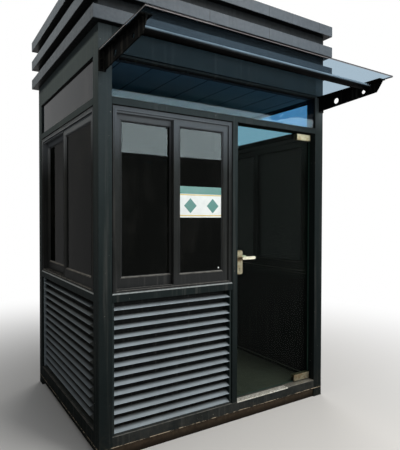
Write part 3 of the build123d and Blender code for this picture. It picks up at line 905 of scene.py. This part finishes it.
def track_trim(wall):
    """The tracks in the window's foot and head, and the brush between the sashes."""
    right, left = sashes(wall)
    along = (left[0][0], right[0][0] - CLEAR)
    low, high = SASH_HEIGHTS
    tracks = Build()
    for depth in TRACK_DEPTHS:
        for heights in ((low, low + TRACK_FOOT), (high - TRACK_HEAD, high)):
            tracks.rail(wall, along, box_profile((depth, depth + TRACK_WIDTH), heights))
    tracks.slot_piece(f"window_tracks_{wall}", "window_metal", bevel=TRACK_BEVEL)

    brush = Build()
    between = OUTER_SASH_SETBACK + SASH_DEPTH
    pile = (right[0][0] + BRUSH[0], right[0][0] + BRUSH[1])
    brush.upright(wall, SASH_HEIGHTS, box_profile(pile, (between, between + SASH_GAP)))
    brush.piece(f"sash_brush_{wall}", RUBBER_SEAL)


# Label on the front's right pane: a generic design of the colours and the size of the one in the photograph
LABEL_ALONG = (-0.405, -0.040)
LABEL_HEIGHT = (1.507, 1.722)
LABEL_BAND = 0.052
LABEL_STRIPES = ((1.660, 1.667), (1.517, 1.524))
DIAMOND_REACH = 0.052
DIAMOND_OFFSETS = (-0.095, 0.095)
PRINT = 0.0004
STICKER_PLACE = (-0.075, 1.145)
STICKER = ((0.006, 0.0), (0.006, PRINT), (0.0055, 2 * PRINT))


def pane_label():
    """A plain printed label of a service panel's colours, and a small round sticker."""
    pane = OUTER_SASH_SETBACK + PANE_RECESS
    card_face = pane - PRINT
    print_face = card_face - PRINT
    card = Build()
    card.slab(LABEL_ALONG, LABEL_HEIGHT, pane, card_face, PRINT / 2)
    card.piece("label_ground", LABEL_WHITE)

    teal = Build()
    low, high = LABEL_HEIGHT
    teal.slab(LABEL_ALONG, (high - LABEL_BAND, high), card_face, print_face, PRINT / 4)
    middle = sum(LABEL_ALONG) / 2
    centre = (low + high - LABEL_BAND) / 2
    for offset in DIAMOND_OFFSETS:
        x = middle + offset
        diamond = [(x, centre - DIAMOND_REACH), (x + DIAMOND_REACH, centre), (x, centre + DIAMOND_REACH),
                   (x - DIAMOND_REACH, centre)]
        teal.tube([[WALLS["front"](u, depth, z) for u, z in diamond] for depth in (card_face, print_face)])
    teal.piece("label_teal", LABEL_TEAL)

    gold = Build()
    for heights in LABEL_STRIPES:
        gold.slab(LABEL_ALONG, heights, card_face, print_face, PRINT / 4)
    gold.piece("label_gold", LABEL_GOLD)

    dot = Build()
    dot.turned(STICKER_PLACE, pane, STICKER, 20)
    dot.piece("round_sticker", LABEL_WHITE)


# Fanlights and louvres
SEAL_WIDTH = 0.003
SEAL_PROUD = 0.004
HEAD_SEAL_PROUD = 0.008
HEAD_SEAL_DROPS = (0.008, 0.013)
CLIP_ALONG = (-0.370, -0.350)
CLIP_DROP = 0.019
CLIP_DEPTHS = (0.004, -0.002)
CLIP_CHAMFER = 0.001
HEM_HEIGHT = 0.005
HEM_PROUD = 0.002


def fanlight_trim(wall):
    """The seal round the glass, thicker under the top rail, and a small clip on the front."""
    seal = Build()
    along = (-HALF_OPENING[wall], HALF_OPENING[wall])
    face = FANLIGHT_SETBACK
    top = TOP_RAIL_BOTTOM
    profile = [(0, face - SEAL_PROUD), (SEAL_WIDTH, face - 0.001), (SEAL_WIDTH, face), (0, face)]
    seal.ring_frame(wall, along, (HEADER_TOP, top), profile)
    proud = face - HEAD_SEAL_PROUD
    head = [(proud, top), (proud, top - HEAD_SEAL_DROPS[0]), (face, top - HEAD_SEAL_DROPS[1]), (face, top)]
    seal.rail(wall, narrowed(along, CLEAR), head)
    if wall == "front":
        seal.slab(CLIP_ALONG, (top - CLIP_DROP, top), *CLIP_DEPTHS, CLIP_CHAMFER)
    # The seal is black, partly as painted shade for the dark line under the top rail.
    seal.piece(f"fanlight_seal_{wall}", SEAL_AND_SHADE_PAINT)


def blade_hems(wall):
    """The folded front edge that stands up along each louvre blade."""
    rail_top = FRONT_RAIL_TOP if wall == "front" else SIDE_RAIL_TOP
    first = FRONT_RAIL_TOP + BLADE_FOOT
    pitch = (SILL_BOTTOM - BLADE_HEAD - first) / (BLADE_COUNT - 1)
    face = BLADE_SETBACK - HEM_PROUD
    back = BLADE_SETBACK + HEM_PROUD
    hems = Build()
    for i in range(BLADE_COUNT):
        foot = first + i * pitch
        head = foot + HEM_HEIGHT
        if foot < rail_top + BLADE_FOOT:
            continue
        profile = [(face, foot + 0.001), (face + 0.001, foot), (back, foot), (back, head),
                   (face + 0.001, head), (face, head - 0.001)]
        hems.rail(wall, narrowed(bay(wall), CHANNEL_WIDTH), profile)
    hems.slot_piece(f"blade_hems_{wall}", "louvre_paint")


# Roof and canopy. A turned profile is a list of (radius, height above the face).
DRIP_LIP = (0.0005, 0.003)
DRIP_DROP = 0.0015
BOLT_FROM_SIDE = 0.020
BOLT_HEIGHTS = (0.024, 0.066)
WASHER = ((0.010, 0.0), (0.010, 0.0015), (0.009, 0.002))
BOLT_HEAD = ((0.0075, 0.002), (0.0075, 0.007), (0.0065, 0.008))
BOLT_BEVEL = 0.0004
WELD_SIDES = 32
WELD_RIPPLES = 9
WELD_RIPPLE = 0.0006


def drip_lips():
    """A folded lip under the outer edge of each roof band."""
    lips = Build()
    for name in ("lower", "middle", "upper"):
        low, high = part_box(f"roof_band_{name}")
        profile = box_profile(DRIP_LIP, (low[2], low[2] - DRIP_DROP))
        rings = []
        for sx, sy in ((-1, -1), (1, -1), (1, 1), (-1, 1)):
            rings.append([(sx * (high[0] - inset), sy * (high[1] - inset), z) for inset, z in profile])
        lips.tube(rings, closed=True)
    lips.slot_piece("roof_drip_lips", "roof_paint")


def canopy_seal():
    seal = Build()
    top = CANOPY_UNDERSIDE
    profile = [(0, top), (-0.005, top), (-0.004, top - 0.003), (-0.001, top - 0.004), (0, top - 0.004)]
    between = (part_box("canopy_bracket_left")[1][0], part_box("canopy_bracket_right")[0][0])
    seal.rail("front", narrowed(between, CLEAR), profile)
    seal.slot_piece("canopy_seal", "frame_paint")


def bracket_bolts():
    """Two bolts with washers at the foot of each bracket's plate."""
    bolts = Build()
    for side in (-1, 1):
        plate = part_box("canopy_bracket_left" if side < 0 else "canopy_bracket_right")
        for height in BOLT_HEIGHTS:
            centre = (side * (HALF_WIDTH - BOLT_FROM_SIDE), plate[0][2] + height)
            bolts.turned(centre, -BRACKET_PLATE, WASHER)
            bolts.turned(centre, -BRACKET_PLATE, BOLT_HEAD, 6)
    bolts.piece("bracket_bolts", BRACKET_PAINT, "frame_paint", bevel=BOLT_BEVEL)


def tube_welds():
    """A rippled bead of weld round each end of the canopy's tube."""
    welds = Build()
    low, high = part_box("canopy_tube")
    y = (low[1] + high[1]) / 2
    z = (low[2] + high[2]) / 2
    radius = (high[2] - low[2]) / 2
    for x, inward in ((low[0], 1), (high[0], -1)):
        rings = []
        for i in range(WELD_SIDES):
            angle = 2 * math.pi * i / WELD_SIDES
            swell = WELD_RIPPLE * math.sin(WELD_RIPPLES * angle)
            ring = []
            for reach, out in ((-0.001, 0.0), (0.005 + swell, 0.0), (0.003 + swell, 0.003), (-0.001, 0.005)):
                ring.append((x + inward * out, y + (radius + reach) * math.cos(angle),
                             z + (radius + reach) * math.sin(angle)))
            rings.append(ring)
        welds.tube(rings, closed=True)
    welds.piece("tube_welds", BRACKET_PAINT, "frame_paint", smooth=True)


# Door fittings
COVER_THICKNESS = 0.0025
COVER_MARGIN = 0.002
COVER_CHAMFER = 0.0012
SCREW_INSETS = (0.022, 0.062)
SCREW_HEAD = ((0.0055, 0.0), (0.0055, 0.0006), (0.0045, 0.0012))
SCREW_SOCKET = ((0.0024, 0.0012), (0.0024, 0.0014))
KEY_BELOW_LEVER = 0.078
ROSE = ((0.017, 0.0), (0.017, 0.003), (0.0135, 0.0055), (0.0115, 0.0055))
KEY_SURROUND = ((0.0105, 0.0), (0.0105, 0.001), (0.0095, 0.0015))
KEY_PLUG = ((0.0082, 0.0015), (0.0082, 0.0035), (0.0076, 0.004))
KEY_SLOT = ((0.0012, 0.004), (0.0012, 0.0043))
KEY_SURROUND_STRETCH = 0.013
KEY_SLOT_STRETCH = 0.006
PLATE_SCREW_INSET = 0.012
PLATE_SCREW = ((0.0042, 0.0), (0.0042, 0.0006), (0.0034, 0.0012))
PLATE_SCREW_SOCKET = ((0.0016, 0.0012), (0.0016, 0.0013))


def patch_covers():
    """Cover plates on both faces of the two patch fittings, with their socket screws."""
    low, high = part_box("door_patch_fittings")
    front = low[1] + HALF_DEPTH
    back = high[1] + HALF_DEPTH
    face = front - COVER_THICKNESS
    covers = Build()
    screws = Build()
    sockets = Build()
    for bottom, width in ((low[2], high[0] - low[0]), (high[2] - PATCH_HEIGHT, TOP_PATCH_WIDTH)):
        along = narrowed((high[0] - width, high[0]), COVER_MARGIN)
        height = narrowed((bottom, bottom + PATCH_HEIGHT), COVER_MARGIN)
        covers.slab(along, height, front, face, COVER_CHAMFER)
        covers.slab(along, height, back, back + COVER_THICKNESS, -COVER_CHAMFER)
        middle = sum(height) / 2
        for x in (along[0] + SCREW_INSETS[0], along[1] - SCREW_INSETS[1]):
            screws.turned((x, middle), face, SCREW_HEAD)
            sockets.turned((x, middle), face, SCREW_SOCKET, 6)
    covers.slot_piece("patch_covers", "bright_steel", body="door")
    screws.slot_piece("patch_screws", "bright_steel", body="door")
    # Painted shade: dark discs in the screws' sockets.
    sockets.piece("patch_socket_shade", SEAL_AND_SHADE_PAINT, body="door")


def handle_trim():
    """A rose, the key cylinder and the plate's screws, on both faces."""
    low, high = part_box("door_handle_plates")
    centre_x = (low[0] + high[0]) / 2
    lever_low, lever_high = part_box("door_lever")
    lever_z = (lever_low[2] + lever_high[2]) / 2
    lever = (centre_x, lever_z)
    key = (centre_x, lever_z - KEY_BELOW_LEVER)
    slot = (centre_x, key[1] + 0.002)
    metal = Build()
    dark = Build()
    for face, out in ((low[1] + HALF_DEPTH, -1), (high[1] + HALF_DEPTH, 1)):
        metal.turned(lever, face, ROSE, 36, out=out)
        metal.turned(key, face, KEY_SURROUND, 32, KEY_SURROUND_STRETCH, out)
        metal.turned(key, face, KEY_PLUG, 32, out=out)
        dark.turned(slot, face, KEY_SLOT, 12, KEY_SLOT_STRETCH, out)
        for z in (low[2] + PLATE_SCREW_INSET, high[2] - PLATE_SCREW_INSET):
            metal.turned((centre_x, z), face, PLATE_SCREW, 20, out=out)
            dark.turned((centre_x, z), face, PLATE_SCREW_SOCKET, 4, out=out)
    metal.slot_piece("handle_trim", "bright_steel", body="door", smooth=True)
    # Painted shade: dark key slots and screw sockets.
    dark.piece("handle_recess_shade", SEAL_AND_SHADE_PAINT, body="door")


# Studio
def seen_ray(tree):
    """1 for rays from the camera, from gloss and through glass, which see a white background."""
    path = tree.nodes.new("ShaderNodeLightPath")
    seen = path.outputs["Is Camera Ray"]
    for name in ("Is Glossy Ray", "Is Transmission Ray"):
        either = tree.nodes.new("ShaderNodeMath")
        either.operation = "MAXIMUM"
        tree.links.new(seen, either.inputs[0])
        tree.links.new(path.outputs[name], either.inputs[1])
        seen = either.outputs[0]
    return seen


def make_floor():
    """A pale floor that keeps the shadow near the booth and fades to the white background."""
    mesh = bpy.data.meshes.new("floor_stage")
    span = (-FLOOR_REACH, FLOOR_REACH)
    mesh.from_pydata([(x, y, 0) for x, y in box_profile(span, span)], [], [(0, 1, 2, 3)])
    floor = bpy.data.objects.new("floor_stage", mesh)
    scene.collection.objects.link(floor)
    s = Shader("pale_floor")
    near = s.add("ShaderNodeBsdfDiffuse")
    near.inputs["Color"].default_value = rgba(FLOOR_COLOUR)
    far = s.add("ShaderNodeEmission")
    distance = s.math("SQRT", s.math("ADD", s.times(s.axis(X), s.axis(X)), s.times(s.axis(Y), s.axis(Y))))
    s.surface(s.times(s.fade(distance, *FLOOR_FADE), seen_ray(s.tree)), near.outputs[0], far.outputs[0])
    mesh.materials.append(s.material)


def make_world():
    world = bpy.data.worlds.new("world")
    scene.world = world
    world.use_nodes = True
    tree = world.node_tree
    tree.nodes.clear()
    mix = tree.nodes.new("ShaderNodeMixShader")
    tree.links.new(seen_ray(tree), mix.inputs[0])
    for socket, colour, strength in ((1, AMBIENT_COLOUR, AMBIENT), (2, (1, 1, 1), 1.0)):
        background = tree.nodes.new("ShaderNodeBackground")
        background.inputs["Color"].default_value = rgba(colour)
        background.inputs["Strength"].default_value = strength
        tree.links.new(background.outputs[0], mix.inputs[socket])
    out = tree.nodes.new("ShaderNodeOutputWorld")
    tree.links.new(mix.outputs[0], out.inputs["Surface"])


def make_lamp(name, place, aim, wide, high, power, colour=(1, 1, 1), diffuse=True, gloss=True,
              spread=math.pi):
    lamp = bpy.data.lights.new(name, "AREA")
    lamp.color = colour
    lamp.shape = "RECTANGLE"
    lamp.size = wide
    lamp.size_y = high
    lamp.energy = power
    lamp.spread = spread
    holder = bpy.data.objects.new(name, lamp)
    scene.collection.objects.link(holder)
    holder.location = place
    holder.rotation_euler = (aim - place).to_track_quat("-Z", "Y").to_euler()
    holder.visible_camera = False
    holder.visible_diffuse = diffuse
    holder.visible_glossy = gloss


def make_panel(name, along, height, radiance):
    """A panel whose image in the front panes fills the given rectangle of the wall."""
    mirror_y = -HALF_DEPTH + OUTER_SASH_SETBACK + PANE_RECESS
    mirrored_eye = Vector((EYE.x, 2 * mirror_y - EYE.y, EYE.z))
    reach = (PANEL_Y - mirrored_eye.y) / (mirror_y - mirrored_eye.y)
    corners = []
    for u, z in zip(along, height):
        corners.append(mirrored_eye + reach * (Vector((u, mirror_y, z)) - mirrored_eye))
    middle = (corners[0] + corners[1]) / 2
    size = corners[1] - corners[0]
    power = math.pi * radiance * size.x * size.z
    make_lamp(name, middle, middle + Vector((0, 1, 0)), size.x, size.z, power, PANEL_COLOUR, diffuse=False)


def make_lamps():
    make_lamp("key", KEY_PLACE, KEY_AIM, *KEY_SIZE, KEY_POWER)
    make_lamp("fill", FILL_PLACE, BOOTH_MIDDLE, *FILL_SIZE, FILL_POWER, gloss=False)
    make_lamp("back", BACK_PLACE, BOOTH_MIDDLE, *BACK_SIZE, BACK_POWER, gloss=False)
    make_lamp("side", SIDE_PLACE, SIDE_AIM, *SIDE_SIZE, SIDE_POWER, SIDE_COLOUR, gloss=False,
              spread=SIDE_SPREAD)
    make_panel("window_panel", *WINDOW_PANEL, WINDOW_RADIANCE)
    make_panel("fanlight_panel", *FANLIGHT_PANEL, FANLIGHT_RADIANCE)


make_camera()
dress_nodes()
for wall_name in WALLS:
    window_frame_trim(wall_name)
    sash_trim(wall_name)
    track_trim(wall_name)
    fanlight_trim(wall_name)
    blade_hems(wall_name)
pane_label()
drip_lips()
canopy_seal()
bracket_bolts()
tube_welds()
patch_covers()
handle_trim()
make_floor()
make_world()
make_lamps()
scene.view_settings.view_transform = "Standard"
